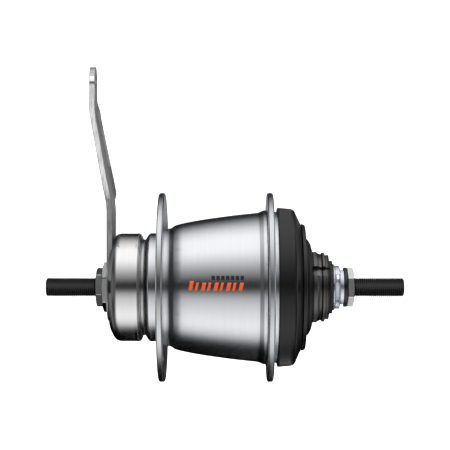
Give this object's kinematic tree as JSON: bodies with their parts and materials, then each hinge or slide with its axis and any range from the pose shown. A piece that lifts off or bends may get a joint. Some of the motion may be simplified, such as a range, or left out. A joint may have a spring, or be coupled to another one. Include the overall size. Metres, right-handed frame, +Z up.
{
  "type": "bicycle hub gear",
  "caption": "Internally geared rear hub with a coaster brake: threaded axle, flanged shell for spokes, black dust caps, sprocket driver and an upright brake arm.",
  "frame": {"origin": "on the axle's axis, midway between the outer faces of the two locknuts", "axes": "+X along the axle towards the drive side, +Z up along the brake arm, +Y to the rear of the view"},
  "size_m": [0.184, 0.097, 0.1617],
  "materials": {
    "black_oxide": "black oxide, oiled",
    "dark_steel": "dark phosphated steel",
    "plated_steel": "zinc plated, satin",
    "shell_steel": "satin, turned grain",
    "flange_steel": "satin",
    "bright_cap": "polished satin plating",
    "black_cap": "matt black paint",
    "seal_rubber": "black rubber",
    "gear_steel": "hardened, oiled",
    "ball_steel": "polished",
    "cage_nylon": "natural nylon",
    "spring_steel": "drawn wire",
    "friction": "sintered friction metal"
  },
  "bodies": {
    "axle_group": {"axle": "black_oxide", "left_locknut": "plated_steel", "arm_nut": "plated_steel", "brake_arm": "plated_steel", "brake_cap": "bright_cap", "brake_cone": "gear_steel", "right_cone": "plated_steel", "right_cone_seal": "seal_rubber", "right_washer": "dark_steel", "right_locknut": "plated_steel", "sun_gear_large": "gear_steel", "sun_washer": "gear_steel", "shoe_spring": "spring_steel", "shift_spring": "spring_steel"},
    "shell_group": {"hub_shell": "shell_steel", "left_flange": "flange_steel", "right_flange": "flange_steel", "left_dust_ring": "plated_steel", "left_ratchet_ring": "dark_steel", "right_ratchet_ring": "dark_steel", "right_ball_cup": "gear_steel", "outer_dust_cap": "black_cap"},
    "carrier_group": {"planet_carrier": "dark_steel", "planet_pins": "gear_steel", "brake_cam": "dark_steel", "roller_cage": "cage_nylon", "brake_rollers": "ball_steel"},
    "ring_group": {"ring_gear": "dark_steel"},
    "driver_group": {"driver": "dark_steel", "driver_dust_cap": "black_cap"},
    "small_sun": {"sun_gear_small": "gear_steel"},
    "shifter": {"shift_sleeve": "gear_steel"},
    "left_bearing": {"left_balls": "ball_steel", "left_ball_cage": "cage_nylon"},
    "right_bearing": {"right_balls": "ball_steel", "right_ball_cage": "cage_nylon"},
    "driver_bearing": {"driver_balls": "ball_steel", "driver_ball_cage": "cage_nylon"},
    "carrier_pawl_1_body": {"carrier_pawl_1": "gear_steel"},
    "carrier_pawl_2_body": {"carrier_pawl_2": "gear_steel"},
    "ring_pawl_1_body": {"ring_pawl_1": "gear_steel"},
    "ring_pawl_2_body": {"ring_pawl_2": "gear_steel"},
    "driver_pawl_1_body": {"driver_pawl_1": "gear_steel"},
    "driver_pawl_2_body": {"driver_pawl_2": "gear_steel"},
    "sun_pawl_a_body": {"sun_pawl_a": "gear_steel"},
    "sun_pawl_b_body": {"sun_pawl_b": "gear_steel"},
    "planet_1_body": {"planet_1": "gear_steel"},
    "planet_2_body": {"planet_2": "gear_steel"},
    "planet_3_body": {"planet_3": "gear_steel"},
    "brake_shoe_1_body": {"brake_shoe_1": "friction"},
    "brake_shoe_2_body": {"brake_shoe_2": "friction"},
    "brake_shoe_3_body": {"brake_shoe_3": "friction"}
  },
  "joints": [
    {"name": "shell_spin", "type": "hinge", "parent": "axle_group", "child": "shell_group", "pos_m": [0, 0, 0], "axis": [1, 0, 0], "continuous": true},
    {"name": "carrier_spin", "type": "hinge", "parent": "axle_group", "child": "carrier_group", "pos_m": [0, 0, 0], "axis": [1, 0, 0], "continuous": true},
    {"name": "ring_spin", "type": "hinge", "parent": "axle_group", "child": "ring_group", "pos_m": [0, 0, 0], "axis": [1, 0, 0], "continuous": true},
    {"name": "driver_spin", "type": "hinge", "parent": "axle_group", "child": "driver_group", "pos_m": [0, 0, 0], "axis": [1, 0, 0], "continuous": true},
    {"name": "planet_1_spin", "type": "hinge", "parent": "carrier_group", "child": "planet_1_body", "pos_m": [0, 0, 0.018], "axis": [1, 0, 0], "continuous": true},
    {"name": "planet_2_spin", "type": "hinge", "parent": "carrier_group", "child": "planet_2_body", "pos_m": [0, -0.01559, -0.009], "axis": [1, 0, 0], "continuous": true},
    {"name": "planet_3_spin", "type": "hinge", "parent": "carrier_group", "child": "planet_3_body", "pos_m": [0, 0.01559, -0.009], "axis": [1, 0, 0], "continuous": true},
    {"name": "small_sun_spin", "type": "hinge", "parent": "axle_group", "child": "small_sun", "pos_m": [0, 0, 0], "axis": [1, 0, 0], "continuous": true},
    {"name": "left_bearing_spin", "type": "hinge", "parent": "axle_group", "child": "left_bearing", "pos_m": [0, 0, 0], "axis": [1, 0, 0], "continuous": true},
    {"name": "right_bearing_spin", "type": "hinge", "parent": "axle_group", "child": "right_bearing", "pos_m": [0, 0, 0], "axis": [1, 0, 0], "continuous": true},
    {"name": "driver_bearing_spin", "type": "hinge", "parent": "axle_group", "child": "driver_bearing", "pos_m": [0, 0, 0], "axis": [1, 0, 0], "continuous": true},
    {"name": "carrier_pawl_1_swing", "type": "hinge", "parent": "carrier_group", "child": "carrier_pawl_1_body", "pos_m": [0, -0.0212, 0], "axis": [1, 0, 0], "range_deg": [-14, 0]},
    {"name": "carrier_pawl_2_swing", "type": "hinge", "parent": "carrier_group", "child": "carrier_pawl_2_body", "pos_m": [0, 0.0212, 0], "axis": [1, 0, 0], "range_deg": [-14, 0]},
    {"name": "ring_pawl_1_swing", "type": "hinge", "parent": "ring_group", "child": "ring_pawl_1_body", "pos_m": [0, 0, 0.0292], "axis": [1, 0, 0], "range_deg": [0, 14]},
    {"name": "ring_pawl_2_swing", "type": "hinge", "parent": "ring_group", "child": "ring_pawl_2_body", "pos_m": [0, 0, -0.0292], "axis": [1, 0, 0], "range_deg": [0, 14]},
    {"name": "driver_pawl_1_swing", "type": "hinge", "parent": "driver_group", "child": "driver_pawl_1_body", "pos_m": [0, 0, 0.0196], "axis": [1, 0, 0], "range_deg": [-14, 0]},
    {"name": "driver_pawl_2_swing", "type": "hinge", "parent": "driver_group", "child": "driver_pawl_2_body", "pos_m": [0, 0, -0.0196], "axis": [1, 0, 0], "range_deg": [-14, 0]},
    {"name": "shift_turn", "type": "hinge", "parent": "axle_group", "child": "shifter", "pos_m": [0, 0, 0], "axis": [1, 0, 0], "range_deg": [0, 80], "stiffness_Nm_per_rad": 0.02, "springref_deg": -11.46, "deforming": ["shift_spring"]},
    {"name": "sun_pawl_a_swing", "type": "hinge", "parent": "axle_group", "child": "sun_pawl_a_body", "pos_m": [0, -0.0044, -0.0022], "axis": [1, 0, 0], "range_deg": [-16, 0]},
    {"name": "sun_pawl_b_swing", "type": "hinge", "parent": "axle_group", "child": "sun_pawl_b_body", "pos_m": [0, 0.0044, 0.0022], "axis": [1, 0, 0], "range_deg": [0, 16]},
    {"name": "brake_shoe_1_slide", "type": "slide", "parent": "axle_group", "child": "brake_shoe_1_body", "axis": [0, 0, 1], "range_m": [0, 0.0004]},
    {"name": "brake_shoe_2_slide", "type": "slide", "parent": "axle_group", "child": "brake_shoe_2_body", "axis": [0, -0.866, -0.5], "range_m": [0, 0.0004]},
    {"name": "brake_shoe_3_slide", "type": "slide", "parent": "axle_group", "child": "brake_shoe_3_body", "axis": [0, 0.866, -0.5], "range_m": [0, 0.0004]}
  ],
  "couplings": [
    {"joint": "carrier_spin", "follows": "shell_spin", "ratio": 1},
    {"joint": "ring_spin", "follows": "shell_spin", "ratio": 1.6364},
    {"joint": "driver_spin", "follows": "shell_spin", "ratio": 1.6364},
    {"joint": "planet_1_spin", "follows": "shell_spin", "ratio": 2},
    {"joint": "planet_2_spin", "follows": "shell_spin", "ratio": 2},
    {"joint": "planet_3_spin", "follows": "shell_spin", "ratio": 2},
    {"joint": "small_sun_spin", "follows": "shell_spin", "ratio": -0.75},
    {"joint": "left_bearing_spin", "follows": "shell_spin", "ratio": 0.565},
    {"joint": "right_bearing_spin", "follows": "shell_spin", "ratio": 1.292},
    {"joint": "driver_bearing_spin", "follows": "shell_spin", "ratio": 0.975},
    {"joint": "carrier_pawl_2_swing", "follows": "carrier_pawl_1_swing", "ratio": 1},
    {"joint": "ring_pawl_2_swing", "follows": "ring_pawl_1_swing", "ratio": 1},
    {"joint": "driver_pawl_2_swing", "follows": "driver_pawl_1_swing", "ratio": 1},
    {"joint": "sun_pawl_a_swing", "follows": "shift_turn", "ratio": -0.2},
    {"joint": "sun_pawl_b_swing", "follows": "shift_turn", "ratio": 0.2},
    {"joint": "brake_shoe_2_slide", "follows": "brake_shoe_1_slide", "ratio": 1},
    {"joint": "brake_shoe_3_slide", "follows": "brake_shoe_1_slide", "ratio": 1}
  ]
}
